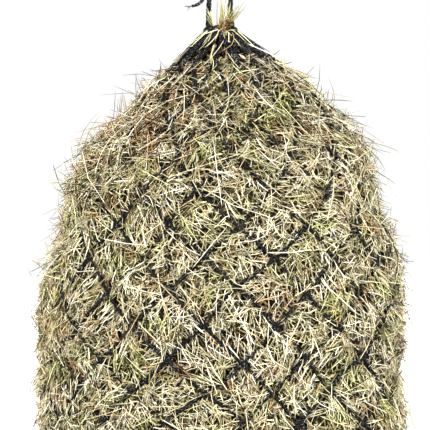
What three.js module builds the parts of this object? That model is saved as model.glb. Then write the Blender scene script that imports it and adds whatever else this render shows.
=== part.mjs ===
// A hay net: a large-mesh knotted net stuffed with hay, gathered at its neck by a draw cord.
// The cord's two strands hang from a steel dee ring, and a steel ring closes the net's base.
//
// Millimetres, +Z up. The front is -Y. The origin is where a hook bears inside the dee's bow.
// Angles round the net are measured from the front, positive towards +X.

import * as THREE from 'three';

// ---- Driving dimensions -------------------------------------------------------------------------

// Netting
const MESH_SIDE = 75;            // knot to knot along the twine
const MESHES_ROUND = 16;
const TWINE_RADIUS = 3.2;
const FIRST_TIP_ANGLE = 5.5;     // degrees from the front to a tip of the top row

// Draw cord
const CORD_RADIUS = 4;
const STRAND_OFFSET = 17.3;      // from the net's axis to each strand
const NECK_DROP = 95;            // from the dee's bar down to the neck loop
const KNOT_RADIUS = 8.5;
const KNOT_HEIGHT = 20;

// Steel
const DEE_WIRE_RADIUS = 3.5;
const DEE_HALF_WIDTH = 27.5;     // to the wire's centre line
const DEE_INSIDE_HEIGHT = 40;
const DEE_CORNER = 6;
const BASE_RING_RADIUS = 28;
const BASE_WIRE_RADIUS = 3;
const BASE_RING_SAG = 1;         // the ring hangs this far below the tips threaded on it

// Hay
const TUFT_HEIGHT = 50;          // above the neck loop
const TUFT_BASE_RADIUS = 12.5;
const TUFT_TOP_RADIUS = 6;

// Clearances
const GAP = 0.3;                 // between pieces that touch
const EYE_CLEARANCE = 0.4;       // between a cord eye and the bar that it turns on
const HAY_CLEARANCE = 0.4;       // between the stuffing and the twine round it

// Facets round a section, and steps along a bent one
const TWINE_SIDES = 6;
const WIRE_SIDES = 8;            // steel wire, and the cord where it is bent
const CORD_SIDES = 10;           // the straight cord and its knots
const TUFT_SIDES = 12;
const DEE_STEPS = 40;
const EYE_STEPS = 16;
const NECK_LOOP_STEPS = 24;
const BASE_RING_STEPS = 28;

// ---- Levels and angles worked out from them -----------------------------------------------------

const BAR_Z = -DEE_INSIDE_HEIGHT - DEE_WIRE_RADIUS;
const NECK_Z = BAR_Z - NECK_DROP;
const HALF_PITCH = Math.PI / MESHES_ROUND;
const FIRST_TIP = THREE.MathUtils.degToRad(FIRST_TIP_ANGLE);
const NECK_TIP_RADIUS = STRAND_OFFSET + CORD_RADIUS + GAP + TWINE_RADIUS;
const BASE_TIP_RADIUS = BASE_RING_RADIUS + BASE_WIRE_RADIUS + GAP + TWINE_RADIUS;

// The filled net's outline, to the middle of the twine: radius, and height below the neck. The hay
// spreads in a cone below the neck, hangs nearly straight down the side and rounds in to the base.
const outline = new THREE.SplineCurve([
  new THREE.Vector2(NECK_TIP_RADIUS, 0),
  new THREE.Vector2(78, -47),
  new THREE.Vector2(134, -97),
  new THREE.Vector2(179, -146),
  new THREE.Vector2(238, -232),
  new THREE.Vector2(270, -340),
  new THREE.Vector2(286, -470),
  new THREE.Vector2(287, -610),
  new THREE.Vector2(265, -728),
  new THREE.Vector2(213, -826),
  new THREE.Vector2(130, -892),
  new THREE.Vector2(BASE_TIP_RADIUS, -925),
]);

// ---- Small helpers ------------------------------------------------------------------------------

function material(color, roughness, metalness) {
  return new THREE.MeshStandardMaterial({ color, roughness, metalness });
}

const finishes = {
  twine: () => material(0x1d2023, 0.85, 0),
  cord: () => material(0x191b1e, 0.8, 0),
  steel: () => material(0x9ea2a6, 0.35, 1),
  hay: () => material(0xa89a6c, 0.95, 0),
};

function piece(name, geometry, finish) {
  const mesh = new THREE.Mesh(geometry, finish());
  mesh.name = name;
  return mesh;
}

// A point of the meridian plane (x is the radius, y the height), turned to an angle round the net.
function place(point, angle) {
  return new THREE.Vector3(point.x * Math.sin(angle), -point.x * Math.cos(angle), point.y);
}

function turned(profile, segments, startAngle = 0) {
  return new THREE.LatheGeometry(profile, segments, startAngle).rotateX(Math.PI / 2);
}

// A closed tube through a list of sections. A section has a centre and two half axes: out, which
// points away from the net's middle, and up.
function closedTube(sections, sides) {
  const positions = [];
  const indices = [];
  sections.forEach((section, row) => {
    const nextRow = (row + 1) % sections.length;
    for (let side = 0; side < sides; side += 1) {
      const angle = (2 * Math.PI * side) / sides;
      const point = section.centre.clone();
      point.addScaledVector(section.out, Math.cos(angle));
      point.addScaledVector(section.up, Math.sin(angle));
      positions.push(point.x, point.y, point.z);
      const nextSide = (side + 1) % sides;
      const a = row * sides + side;
      const b = row * sides + nextSide;
      const c = nextRow * sides + nextSide;
      const d = nextRow * sides + side;
      indices.push(a, d, b, b, d, c);
    }
  });
  const geometry = new THREE.BufferGeometry();
  geometry.setAttribute('position', new THREE.Float32BufferAttribute(positions, 3));
  geometry.setIndex(indices);
  geometry.computeVertexNormals();
  return geometry;
}

// ---- The netting --------------------------------------------------------------------------------

// Straight distance from a knot to the knot half a mesh round from it on another level.
function legLength(upper, lower) {
  return place(upper, 0).distanceTo(place(lower, HALF_PITCH));
}

// The levels of the knots, from the neck to the base. Each is one mesh side from the one above it,
// found by halving. The last row takes what twine is left, which is nearest to one mesh side.
function knotLevels() {
  const levels = [outline.getPointAt(0)];
  const base = outline.getPointAt(1);
  const halvings = 40;
  let position = 0;
  while (legLength(levels.at(-1), base) > 1.5 * MESH_SIDE) {
    let near = position;
    let far = 1;
    for (let step = 0; step < halvings; step += 1) {
      const middle = (near + far) / 2;
      if (legLength(levels.at(-1), outline.getPointAt(middle)) < MESH_SIDE) {
        near = middle;
      } else {
        far = middle;
      }
    }
    position = far;
    levels.push(outline.getPointAt(position));
  }
  levels.push(base);
  return levels;
}

const TIP_GAP = 0.8;             // between the tips of two rows that are knotted together
const TALLEST_TIP = 8;           // half height past which a steep row's tip is squared off
const TALLEST_BUNCHED_TIP = 14;  // the most where tips are packed too close to be squared off

// One half row: a twine that zigzags once round the net between two levels of knots. A section at a
// tip is stretched up and down until the leg between two tips is as thick as the twine. In a steep
// row that would make a spike, so the tip is squared off with two sections and a short flat between.
function netRow(upper, lower, upperTipAngle) {
  const down = lower.clone().sub(upper).normalize();
  const out = new THREE.Vector2(-down.y, down.x);
  const acrossLeg = 2 * Math.sin(HALF_PITCH / 2) * Math.sqrt(upper.x * lower.x);
  const slope = Math.acos(acrossLeg / legLength(upper, lower));
  const spikeHalf = TWINE_RADIUS / Math.cos(slope);
  const sections = [];
  for (let tip = 0; tip < 2 * MESHES_ROUND; tip += 1) {
    const isUpper = tip % 2 === 0;
    const level = isUpper ? upper : lower;
    const angle = upperTipAngle + tip * HALF_PITCH;
    const roomBetweenLegs = level.x * HALF_PITCH;
    const bunched = roomBetweenLegs < 2 * TWINE_RADIUS + GAP;
    const squared = spikeHalf > TALLEST_TIP && !bunched;
    const halfHeight = squared ? TWINE_RADIUS : Math.min(spikeHalf, TALLEST_BUNCHED_TIP);
    const inward = (halfHeight + TIP_GAP / 2) * (isUpper ? 1 : -1);
    const centre = place(level.clone().addScaledVector(down, inward), angle);
    const outAxis = place(out, angle).multiplyScalar(TWINE_RADIUS);
    const upAxis = place(down, angle).negate();
    if (!squared) {
      sections.push({ centre, out: outAxis, up: upAxis.multiplyScalar(halfHeight) });
      continue;
    }
    const round = new THREE.Vector3(Math.cos(angle), Math.sin(angle), 0);
    const stretched = TWINE_RADIUS / Math.cos(slope / 2);
    for (const end of [-1, 1]) {
      const lean = Math.sin(slope / 2) * end * (isUpper ? 1 : -1);
      const mitre = upAxis.clone().multiplyScalar(Math.cos(slope / 2)).addScaledVector(round, lean);
      sections.push({
        centre: centre.clone().addScaledVector(round, end * TWINE_RADIUS),
        out: outAxis,
        up: mitre.multiplyScalar(stretched),
      });
    }
  }
  return closedTube(sections, TWINE_SIDES);
}

function netting(levels) {
  const group = new THREE.Group();
  for (let row = 1; row < levels.length; row += 1) {
    const tipAngle = FIRST_TIP + (row - 1) * HALF_PITCH;
    const geometry = netRow(levels[row - 1], levels[row], tipAngle);
    group.add(piece(`net_row_${String(row).padStart(2, '0')}`, geometry, finishes.twine));
  }
  return group;
}

// ---- The hay ------------------------------------------------------------------------------------

// The stuffing lies just inside the netting: its facets are the net's own, set in by the twine.
function hayFill(levels) {
  const setIn = TWINE_RADIUS + HAY_CLEARANCE;
  const profile = [];
  for (let index = 1; index < levels.length - 1; index += 1) {
    const along = levels[index + 1].clone().sub(levels[index - 1]).normalize();
    const inward = new THREE.Vector2(along.y, -along.x);
    profile.push(levels[index].clone().addScaledVector(inward, setIn));
  }
  const topZ = -CORD_RADIUS - 2 * GAP;
  const firstFacet = levels[1].clone().sub(levels[0]);
  const topRadius = NECK_TIP_RADIUS + (topZ / firstFacet.y) * firstFacet.x - 2 * setIn;
  const bottomZ = levels.at(-1).y + setIn + GAP;
  profile.unshift(new THREE.Vector2(0, topZ), new THREE.Vector2(topRadius, topZ));
  profile.push(new THREE.Vector2(BASE_TIP_RADIUS, bottomZ), new THREE.Vector2(0, bottomZ));
  return piece('hay_fill', turned(profile.reverse(), 2 * MESHES_ROUND, FIRST_TIP), finishes.hay);
}

// A plain cone for the straw that stands out of the neck.
function hayTuft() {
  const profile = [
    new THREE.Vector2(0, -CORD_RADIUS - GAP),
    new THREE.Vector2(TUFT_BASE_RADIUS, -CORD_RADIUS - GAP),
    new THREE.Vector2(TUFT_BASE_RADIUS * 0.9, CORD_RADIUS),
    new THREE.Vector2(TUFT_BASE_RADIUS * 0.6, TUFT_HEIGHT / 2),
    new THREE.Vector2(TUFT_TOP_RADIUS, TUFT_HEIGHT),
    new THREE.Vector2(0, TUFT_HEIGHT),
  ];
  return piece('hay_tuft', turned(profile, TUFT_SIDES), finishes.hay);
}

// ---- The draw cord ------------------------------------------------------------------------------

const EYE_RADIUS = DEE_WIRE_RADIUS + EYE_CLEARANCE + CORD_RADIUS;
const KNOT_TOP_Z = BAR_Z - EYE_RADIUS - CORD_RADIUS - GAP;
const STRAND_TOP_Z = KNOT_TOP_Z - KNOT_HEIGHT - GAP;
const STRAND_BOTTOM_Z = NECK_Z + CORD_RADIUS + GAP;

// The eye goes round the dee's bar, the knot below it closes it, and the strand runs down taut.
function drawCordSide(side, x) {
  const group = new THREE.Group();
  const eye = new THREE.TorusGeometry(EYE_RADIUS, CORD_RADIUS, WIRE_SIDES, EYE_STEPS);
  eye.rotateY(Math.PI / 2).translate(x, 0, BAR_Z);

  const knotProfile = new THREE.Path();
  knotProfile.moveTo(0, -KNOT_HEIGHT / 2);
  knotProfile.lineTo(CORD_RADIUS, -KNOT_HEIGHT / 2);
  knotProfile.quadraticCurveTo(KNOT_RADIUS * 1.5, 0, CORD_RADIUS, KNOT_HEIGHT / 2);
  knotProfile.lineTo(0, KNOT_HEIGHT / 2);
  const knot = turned(knotProfile.getPoints(5), CORD_SIDES);
  knot.translate(x, 0, KNOT_TOP_Z - KNOT_HEIGHT / 2);

  const strandLength = STRAND_TOP_Z - STRAND_BOTTOM_Z;
  const strand = new THREE.CylinderGeometry(CORD_RADIUS, CORD_RADIUS, strandLength, CORD_SIDES);
  strand.rotateX(Math.PI / 2).translate(x, 0, (STRAND_TOP_Z + STRAND_BOTTOM_Z) / 2);

  group.add(piece(`draw_cord_${side}_eye`, eye, finishes.cord));
  group.add(piece(`draw_cord_${side}_knot`, knot, finishes.cord));
  group.add(piece(`draw_cord_${side}_strand`, strand, finishes.cord));
  return group;
}

function neckLoop() {
  const loop = new THREE.TorusGeometry(STRAND_OFFSET, CORD_RADIUS, WIRE_SIDES, NECK_LOOP_STEPS);
  return piece('draw_cord_neck_loop', loop, finishes.cord);
}

// ---- The steel ----------------------------------------------------------------------------------

// A dee: a straight bar, two rounded corners and a bow whose inside top is at the origin.
function hangingDee() {
  const bowTop = DEE_WIRE_RADIUS;
  const cornerTop = BAR_Z + DEE_CORNER;
  const barEnd = DEE_HALF_WIDTH - DEE_CORNER;
  const outlinePath = new THREE.Path();
  outlinePath.moveTo(-barEnd, BAR_Z);
  outlinePath.lineTo(barEnd, BAR_Z);
  outlinePath.quadraticCurveTo(DEE_HALF_WIDTH, BAR_Z, DEE_HALF_WIDTH, cornerTop);
  outlinePath.absellipse(0, cornerTop, DEE_HALF_WIDTH, bowTop - cornerTop, 0, Math.PI);
  outlinePath.quadraticCurveTo(-DEE_HALF_WIDTH, BAR_Z, -barEnd, BAR_Z);
  const points = outlinePath.getSpacedPoints(DEE_STEPS).slice(0, DEE_STEPS);
  const upright = points.map((point) => new THREE.Vector3(point.x, 0, point.y));
  const centreLine = new THREE.CatmullRomCurve3(upright, true);
  const wire = new THREE.TubeGeometry(centreLine, DEE_STEPS, DEE_WIRE_RADIUS, WIRE_SIDES, true);
  return piece('hanging_dee', wire, finishes.steel);
}

function baseRing(tipZ) {
  const wire = new THREE.TorusGeometry(BASE_RING_RADIUS, BASE_WIRE_RADIUS, WIRE_SIDES, BASE_RING_STEPS);
  const ring = piece('base_ring', wire, finishes.steel);
  ring.position.z = tipZ - BASE_RING_SAG;
  return ring;
}

// ---- The object ---------------------------------------------------------------------------------

const levels = knotLevels();

const filledNet = new THREE.Group();
filledNet.position.z = NECK_Z;
filledNet.add(neckLoop(), netting(levels), hayFill(levels), hayTuft(), baseRing(levels.at(-1).y));

const hayNet = new THREE.Group();
hayNet.add(hangingDee(), drawCordSide('left', -STRAND_OFFSET), drawCordSide('right', STRAND_OFFSET));
hayNet.add(filledNet);

export default hayNet;
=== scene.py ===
"""The looks of the hay net: braided netting and draw cord, the hay's stalks and leaves, and the steel.

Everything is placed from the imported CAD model. Metres, +Z up, -Y the front. A place on the net is given
by p, half meshes round from the first tip, t, rows of knots down from the neck, and h, the height off
the netting's middle surface.
"""

import math

import bpy
import numpy as np
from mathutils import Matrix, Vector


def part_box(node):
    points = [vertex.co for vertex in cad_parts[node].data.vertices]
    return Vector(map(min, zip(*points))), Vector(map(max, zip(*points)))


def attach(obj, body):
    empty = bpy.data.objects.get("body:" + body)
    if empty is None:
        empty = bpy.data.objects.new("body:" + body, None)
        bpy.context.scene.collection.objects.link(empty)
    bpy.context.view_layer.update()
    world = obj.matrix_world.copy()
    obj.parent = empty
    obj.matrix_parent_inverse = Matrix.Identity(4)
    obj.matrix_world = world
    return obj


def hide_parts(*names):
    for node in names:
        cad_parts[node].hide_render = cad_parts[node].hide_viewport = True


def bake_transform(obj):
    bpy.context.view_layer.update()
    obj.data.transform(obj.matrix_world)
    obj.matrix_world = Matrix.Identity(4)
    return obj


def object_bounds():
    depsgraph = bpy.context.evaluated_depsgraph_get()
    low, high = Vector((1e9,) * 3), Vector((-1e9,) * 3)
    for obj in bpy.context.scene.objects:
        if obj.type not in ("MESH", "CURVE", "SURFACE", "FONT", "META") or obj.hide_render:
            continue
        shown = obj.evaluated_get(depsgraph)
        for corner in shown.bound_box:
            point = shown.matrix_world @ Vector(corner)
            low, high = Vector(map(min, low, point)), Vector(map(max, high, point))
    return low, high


MM = 0.001

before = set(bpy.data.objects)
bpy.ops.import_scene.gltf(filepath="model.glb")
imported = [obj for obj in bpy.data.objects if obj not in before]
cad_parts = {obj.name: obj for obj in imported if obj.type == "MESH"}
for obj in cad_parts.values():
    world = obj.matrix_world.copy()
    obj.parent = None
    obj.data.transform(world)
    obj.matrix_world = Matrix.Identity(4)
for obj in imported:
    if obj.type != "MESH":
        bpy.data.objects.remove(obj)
cad_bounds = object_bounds()

# ---- What the frame gives ----

ROWS = 19
MESHES_ROUND = 16
HALF_MESHES = 2 * MESHES_ROUND
HALF_PITCH = math.pi / MESHES_ROUND
FIRST_TIP_ANGLE = math.radians(5.5)
TWINE_RADIUS = 3.2 * MM
CORD_RADIUS = 4 * MM
TOUCH = 0.3 * MM  # the CAD solids stop this far apart where the real pieces touch
HAY_SET_IN = TWINE_RADIUS + 0.4 * MM
BASE_KNOTS_UP = 1 * MM  # the last row's tips are this far above the middle of the base ring

dee_low, dee_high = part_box("hanging_dee")
loop_low, loop_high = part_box("draw_cord_neck_loop")
ring_low, ring_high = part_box("base_ring")
eye_low, eye_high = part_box("draw_cord_right_eye")
knot_low, knot_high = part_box("draw_cord_right_knot")
strand_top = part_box("draw_cord_right_strand")[1].z

NECK_Z = (loop_low.z + loop_high.z) / 2
LOOP_RADIUS = loop_high.x - CORD_RADIUS
RING_Z = (ring_low.z + ring_high.z) / 2
RING_WIRE = (ring_high.z - ring_low.z) / 2
RING_RADIUS = ring_high.x - RING_WIRE
STRAND_X = (eye_low.x + eye_high.x) / 2
BAR_Z = (eye_low.z + eye_high.z) / 2
DEE_WIRE = (dee_high.y - dee_low.y) / 2


def knot_levels():
    """Radius and height of the netting at each row of knots, from the hay's facets just inside it."""
    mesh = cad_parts["hay_fill"].data
    points = np.array([v.co for v in mesh.vertices], float)
    rings = {}
    for x, y, z in points:
        rings.setdefault(round(z, 4), []).append(math.hypot(x, y))
    heights = sorted(rings, reverse=True)[1:-1]
    hay = np.array([[max(rings[z]), z] for z in heights])
    along = np.gradient(hay, axis=0)
    out = np.stack([-along[:, 1], along[:, 0]], 1)
    out /= np.linalg.norm(out, axis=1)[:, None]
    middle = hay + out * HAY_SET_IN
    neck = [loop_high.x + TOUCH + TWINE_RADIUS, NECK_Z]
    base = [ring_high.x + TOUCH + TWINE_RADIUS, RING_Z + BASE_KNOTS_UP]
    return np.vstack([neck, middle, base])


LEVELS = knot_levels()
assert len(LEVELS) == ROWS + 1, len(LEVELS)

# ---- Places on the net ----


def cubic(values, t):
    """A smooth curve through values at t = 0, 1, 2 ..., and its slope."""
    padded = np.concatenate([[2 * values[0] - values[1]], values, [2 * values[-1] - values[-2]]])
    t = np.clip(t, 0, len(values) - 1)
    i = np.minimum(t.astype(int), len(values) - 2)
    f = t - i
    a, b, c, d = (padded[i + k] for k in range(4))
    slope_b, slope_c = (c - a) / 2, (d - b) / 2
    e, g = 3 * (c - b) - 2 * slope_b - slope_c, 2 * (b - c) + slope_b + slope_c
    return b + f * (slope_b + f * (e + f * g)), slope_b + f * (2 * e + 3 * f * g)


def surface_frame(p, t):
    """At each p, t: the point, and the unit vectors out of the net, round it and down it."""
    radius, d_radius = cubic(LEVELS[:, 0], t)
    height, d_height = cubic(LEVELS[:, 1], t)
    size = np.hypot(d_radius, d_height)
    down_r, down_z = d_radius / size, d_height / size
    angle = FIRST_TIP_ANGLE + p * HALF_PITCH
    sin, cos = np.sin(angle), np.cos(angle)
    point = np.stack([radius * sin, -radius * cos, height], -1)
    out = np.stack([-down_z * sin, down_z * cos, down_r], -1)
    around = np.stack([cos, sin, np.zeros_like(sin)], -1)
    down = np.stack([down_r * sin, -down_r * cos, down_z], -1)
    return point, out, around, down


def step_sizes(t):
    """Metres in one half mesh round the net, and in one row down it."""
    radius, d_radius = cubic(LEVELS[:, 0], t)
    _, d_height = cubic(LEVELS[:, 1], t)
    return radius * HALF_PITCH, np.hypot(d_radius, d_height)


def waves(seed, count, round_max, down_max):
    """A smooth random field over p and t, about 1 at its highest, that meets itself round the net."""
    rng = np.random.default_rng(seed)
    turns = rng.integers(1, round_max + 1, count)
    downs = rng.uniform(-down_max, down_max, count)
    phases = rng.uniform(0, 2 * math.pi, count)

    def field(p, t):
        total = np.zeros(np.broadcast(p, t).shape)
        for turn, fall, phase in zip(turns, downs, phases):
            total += np.sin(2 * math.pi * (turn * p / HALF_MESHES + fall * t) + phase)
        return total / math.sqrt(2 * count)

    return field


shift_round = waves(11, 14, 8, 0.3)
shift_down = waves(12, 14, 8, 0.3)
shift_out = waves(13, 14, 6, 0.25)
pillow_size = waves(14, 20, 13, 0.45)
bulge = waves(15, 24, 16, 0.6)

# How far the filled net leans towards +X, row by row: its shoulder is fuller on that side.
LEAN_ROWS = [0, 1, 2, 3, 4.3, 6, 8, 19]
LEAN = [0, 7 * MM, 9 * MM, 8 * MM, 12 * MM, 6 * MM, 2 * MM, 0]

# Where the stuffing is slack and the net falls in: degrees round from the front, row, and depth.
HOLLOWS = [(-90, 2.6, 12 * MM), (-90, 6.2, 12 * MM), (90, 5.3, 20 * MM), (90, 10.6, 9 * MM)]
HOLLOW_ROUND = math.radians(50)
HOLLOW_ROWS = 0.7

# How far the netting is drawn in all round, row by row.
DRAWN_ROWS = [0, 5, 7, 19]
DRAWN_IN = [0, 0, 4 * MM, 4 * MM]


def ends_fade(t):
    """0 at the neck and the base, 1 from two rows in."""
    f = np.clip(np.minimum(t - 0.4, ROWS - 0.4 - t) / 2, 0, 1)
    return f * f * (3 - 2 * f)


def on_net(p, t, h):
    """The point at p, t and h on the real net, where the knots aren't quite evenly placed."""
    fade = ends_fade(t)
    angle = FIRST_TIP_ANGLE + p * HALF_PITCH
    lean = np.interp(t, LEAN_ROWS, LEAN) * np.sin(angle)
    for towards, row, depth in HOLLOWS:
        off = (angle - math.radians(towards) + math.pi) % (2 * math.pi) - math.pi
        lean = lean - depth * np.exp(-(off / HOLLOW_ROUND) ** 2 - ((t - row) / HOLLOW_ROWS) ** 2)
    p_there = p + 0.2 * fade * shift_round(p, t)
    t_there = t + 0.13 * fade * shift_down(p, t)
    point, out, _, _ = surface_frame(p_there, t_there)
    h_there = h + 4 * MM * fade * shift_out(p, t) + lean - np.interp(t, DRAWN_ROWS, DRAWN_IN)
    return point + out * h_there[..., None]


VALLEY = -6.5 * MM  # the hay's height under the twine
PILLOW = 13.0 * MM  # and how far it bulges above that in the middle of a mesh
BULGE = 2.5 * MM  # and how unevenly it fills the net
PILLOW_ROWS = [0, 1, 2, 3, 4.5, 16, 18, 19]
PILLOW_SHARES = [0, 0.15, 0.6, 0.85, 1, 1, 0.5, 0.2]


def hay_height(p, t):
    """Height of the hay's surface: it bulges through every mesh and dips under the twine."""
    across = np.abs(np.sin(math.pi * (p - t) / 2) * np.sin(math.pi * (p + t) / 2))
    size = PILLOW * (1 + 0.3 * pillow_size(p, t))
    size = size * np.interp(t, PILLOW_ROWS, PILLOW_SHARES)
    return VALLEY + size * across ** 0.5 + BULGE * bulge(p, t) * ends_fade(t)


# ---- Mesh code ----


def placed(name, data):
    """A new object in the scene."""
    obj = bpy.data.objects.new(name, data)
    bpy.context.scene.collection.objects.link(obj)
    return obj


def mesh_object(name, verts, quads, tris, values=None, corner_uv=None):
    """A mesh from arrays. values are named numbers on its points; corner_uv is a map for its corners."""
    mesh = bpy.data.meshes.new(name)
    corners = np.concatenate([quads.reshape(-1), tris.reshape(-1)]).astype(np.int32)
    starts = np.concatenate([np.arange(len(quads)) * 4, len(quads) * 4 + np.arange(len(tris)) * 3])
    mesh.vertices.add(len(verts))
    mesh.vertices.foreach_set("co", verts.astype(np.float32).reshape(-1))
    mesh.loops.add(len(corners))
    mesh.loops.foreach_set("vertex_index", corners)
    mesh.polygons.add(len(starts))
    mesh.polygons.foreach_set("loop_start", starts.astype(np.int32))
    mesh.polygons.foreach_set("use_smooth", np.full(len(starts), True))
    mesh.update(calc_edges=True)
    for key, value in (values or {}).items():
        attribute = mesh.attributes.new(key, "FLOAT", "POINT")
        attribute.data.foreach_set("value", value.astype(np.float32).reshape(-1))
    if corner_uv is not None:
        layer = mesh.uv_layers.new(name=STRAND_MAP)
        layer.data.foreach_set("uv", corner_uv.astype(np.float32).reshape(-1))
    return placed(name, mesh)


NO_TRIS = np.zeros((0, 3), int)
STRAND_MAP = "OFBake"  # a map of the strands, laid out here strand by strand
STRAND_SIDES = 3
PATCH_ASPECT = 3.0  # how much taller than wide a strand's patch of that map is
PATCH_BORDER = 0.12  # the share of it that is left free round the strand


def unit(v):
    return v / np.maximum(np.linalg.norm(v, axis=-1, keepdims=True), 1e-12)


def section_axes(path, hint, closed=False):
    """At each point of each path, two unit vectors across it, the first as near hint as it can be."""
    if closed:
        tangent = np.roll(path, -1, axis=-2) - np.roll(path, 1, axis=-2)
    else:
        tangent = np.gradient(path, axis=-2)
    tangent = unit(tangent)
    first = unit(hint - tangent * np.sum(hint * tangent, -1, keepdims=True))
    return first, np.cross(tangent, first)


def strand_template(stations):
    """Faces of one strand, a closed tube with a point at each end, and its corners' places in its map."""
    rings, sides = len(stations) - 2, STRAND_SIDES
    along = (stations - stations[0]) / (stations[-1] - stations[0])
    last = 1 + rings * sides

    def index(ring, side):
        return 1 + ring * sides + side % sides

    quads, tris, quad_uv, tri_uv = [], [], [], []
    for side in range(sides):
        u0, u1 = side / sides, (side + 1) / sides
        for ring in range(rings - 1):
            v0, v1 = along[ring + 1], along[ring + 2]
            corners = ((ring, side), (ring, side + 1), (ring + 1, side + 1), (ring + 1, side))
            quads.append([index(*corner) for corner in corners])
            quad_uv.append([[u0, v0], [u1, v0], [u1, v1], [u0, v1]])
        v_first, v_last = along[1], along[-2]
        tris.append([0, index(0, side + 1), index(0, side)])
        tri_uv.append([[(u0 + u1) / 2, 0], [u1, v_first], [u0, v_first]])
        tris.append([last, index(rings - 1, side), index(rings - 1, side + 1)])
        tri_uv.append([[(u0 + u1) / 2, 1], [u0, v_last], [u1, v_last]])
    return np.array(quads), np.array(tris), np.array(quad_uv), np.array(tri_uv)


def map_patches(count):
    """The corner and size of a patch of the map for each of count strands, with a border round it."""
    columns = max(1, math.ceil(math.sqrt(count * PATCH_ASPECT)))
    lines = max(1, math.ceil(count / columns))
    index = np.arange(count)
    size = np.array([1 / columns, 1 / lines])
    corner = np.stack([index % columns, index // columns], 1) * size
    return corner + size * PATCH_BORDER / 2, size * (1 - PATCH_BORDER)


def strand_arrays(paths, hints, half_width, half_thick, values, stations):
    """Arrays of many strands' meshes. paths is (strand, station, 3); the first and last are its tips."""
    count, rings = len(paths), len(stations) - 2
    first, second = section_axes(paths, hints)
    angles = 2 * math.pi * np.arange(STRAND_SIDES) / STRAND_SIDES
    ring = (
        paths[:, 1:-1, None]
        + first[:, 1:-1, None] * (np.cos(angles)[:, None] * half_thick[:, 1:-1, None, None])
        + second[:, 1:-1, None] * (np.sin(angles)[:, None] * half_width[:, 1:-1, None, None])
    )
    ring = ring.reshape(count, rings * STRAND_SIDES, 3)
    verts = np.concatenate([paths[:, :1], ring, paths[:, -1:]], 1)
    per_strand = verts.shape[1]
    quads, tris, quad_uv, tri_uv = strand_template(stations)
    offset = (np.arange(count) * per_strand)[:, None, None]
    point_values = {key: np.repeat(value, per_strand) for key, value in values.items()}
    return {
        "verts": verts.reshape(-1, 3), "quads": (quads[None] + offset).reshape(-1, 4),
        "tris": (tris[None] + offset).reshape(-1, 3), "values": point_values, "count": count,
        "quad_uv": quad_uv, "tri_uv": tri_uv,
    }


def strand_object(name, parts):
    """One object of several sets of strands, with a patch of its map for each strand."""
    corner, size = map_patches(sum(part["count"] for part in parts))
    quads, tris, quad_uv, tri_uv, points, strand = [], [], [], [], 0, 0
    for part in parts:
        here = corner[strand:strand + part["count"], None, None]
        quads.append(part["quads"] + points)
        tris.append(part["tris"] + points)
        quad_uv.append((here + part["quad_uv"][None] * size).reshape(-1, 2))
        tri_uv.append((here + part["tri_uv"][None] * size).reshape(-1, 2))
        points += len(part["verts"])
        strand += part["count"]
    values = {key: np.concatenate([part["values"][key] for part in parts]) for key in parts[0]["values"]}
    return mesh_object(
        name, np.vstack([part["verts"] for part in parts]), np.vstack(quads), np.vstack(tris), values,
        np.vstack(quad_uv + tri_uv),
    )


def ring_quads(rows, sides, closed=False):
    """Faces between rings of points; closed joins the last ring to the first."""
    row = np.arange(rows if closed else rows - 1)[:, None]
    side = np.arange(sides)[None]
    next_row, next_side = (row + 1) % rows, (side + 1) % sides
    corners = [(row, side), (row, next_side), (next_row, next_side), (next_row, side)]
    return np.stack([a * sides + b for a, b in corners], -1).reshape(-1, 4)


def fan(centre, ring, after):
    """Triangles from one point to each side of a ring of points."""
    return np.stack([np.full(len(ring), centre), ring, after], 1)


def tube(path, radius, hint, sides, closed=False, relief=None):
    """One tube along path: its points, faces and how high each point stands in its relief, 0 to 1.

    relief(angle, distance) is the surface's height over its mean, as a share of the radius.
    """
    path = np.asarray(path, float)
    hint = np.broadcast_to(np.asarray(hint, float), path.shape)
    first, second = section_axes(path, hint, closed)
    angles = 2 * math.pi * np.arange(sides) / sides
    gaps = np.linalg.norm(np.diff(path, axis=0), axis=1)
    distance = np.concatenate([[0], np.cumsum(gaps)])
    height = np.zeros((len(path), sides))
    if relief is not None:
        height = relief(angles[None], distance[:, None])
    reach = (np.asarray(radius) * np.ones(len(path)))[:, None] * (1 + height)
    verts = (
        path[:, None]
        + first[:, None] * (np.cos(angles)[None] * reach)[..., None]
        + second[:, None] * (np.sin(angles)[None] * reach)[..., None]
    )
    quads = ring_quads(len(path), sides, closed)
    verts = verts.reshape(-1, 3)
    tris = NO_TRIS
    crest = height.reshape(-1)
    if not closed:
        ends = np.stack([path[0], path[-1]])
        start, end, last = len(verts), len(verts) + 1, len(verts) - sides
        ring = np.arange(sides)
        after = (ring + 1) % sides
        tris = np.vstack([fan(start, after, ring), fan(end, last + ring, last + after)])
        verts = np.vstack([verts, ends])
        crest = np.concatenate([crest, [0, 0]])
    return verts, quads, tris, crest


def joined(name, parts):
    """One object from several tubes."""
    verts, quads, tris, crests, offset = [], [], [], [], 0
    for part_verts, part_quads, part_tris, crest in parts:
        verts.append(part_verts)
        quads.append(part_quads + offset)
        tris.append(part_tris + offset)
        crests.append(crest)
        offset += len(part_verts)
    return mesh_object(
        name, np.vstack(verts), np.vstack(quads), np.vstack(tris), {"crest": np.concatenate(crests)}
    )


def braid(plaits, pitch, depth):
    """Relief of a round braid: plaits run round it both ways, each pitch long, over and under."""

    def relief(angle, distance):
        one = np.abs(np.cos(plaits * angle / 2 + math.pi * distance / pitch))
        other = np.abs(np.cos(plaits * angle / 2 - math.pi * distance / pitch))
        return depth * (np.maximum(one, other) * 2 - 1.6)

    return relief


# ---- Materials ----


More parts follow.
